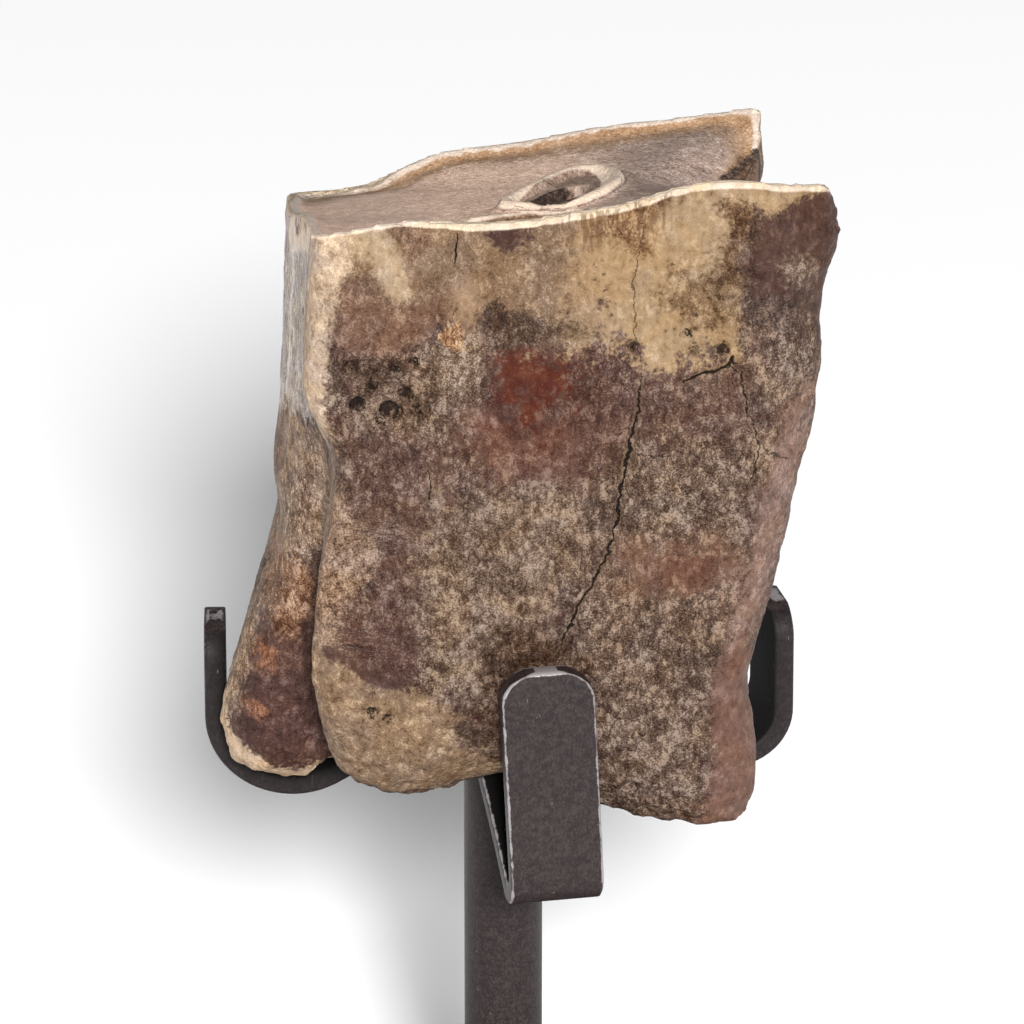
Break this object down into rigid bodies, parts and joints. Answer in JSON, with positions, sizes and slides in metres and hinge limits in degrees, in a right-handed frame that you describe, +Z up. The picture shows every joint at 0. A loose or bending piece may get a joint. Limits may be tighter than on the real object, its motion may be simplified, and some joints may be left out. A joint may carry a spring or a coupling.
{
  "type": "fossil woolly rhino tooth on a claw stand",
  "caption": "Fossil woolly rhino cheek tooth, upright in a bent-strip claw stand of black painted steel on a rod and a square base plate.",
  "frame": {"origin": "middle of the base plate's underside, on the rod's axis", "axes": "+Z up along the rod; -Y towards the tooth's tall near face; +X to the side of its cement pillar"},
  "size_m": [0.09, 0.09, 0.1443],
  "materials": {
    "fossil": "satin, mottled brown with cream enamel",
    "claw_steel": "satin black paint, worn at the edges",
    "rod_steel": "satin black paint",
    "base_steel": "satin black paint"
  },
  "bodies": {
    "root": {"tooth": "fossil", "claw_front": "claw_steel", "claw_left": "claw_steel", "claw_right": "claw_steel", "claw_back": "claw_steel", "rod": "rod_steel", "base": "base_steel"}
  },
  "joints": []
}
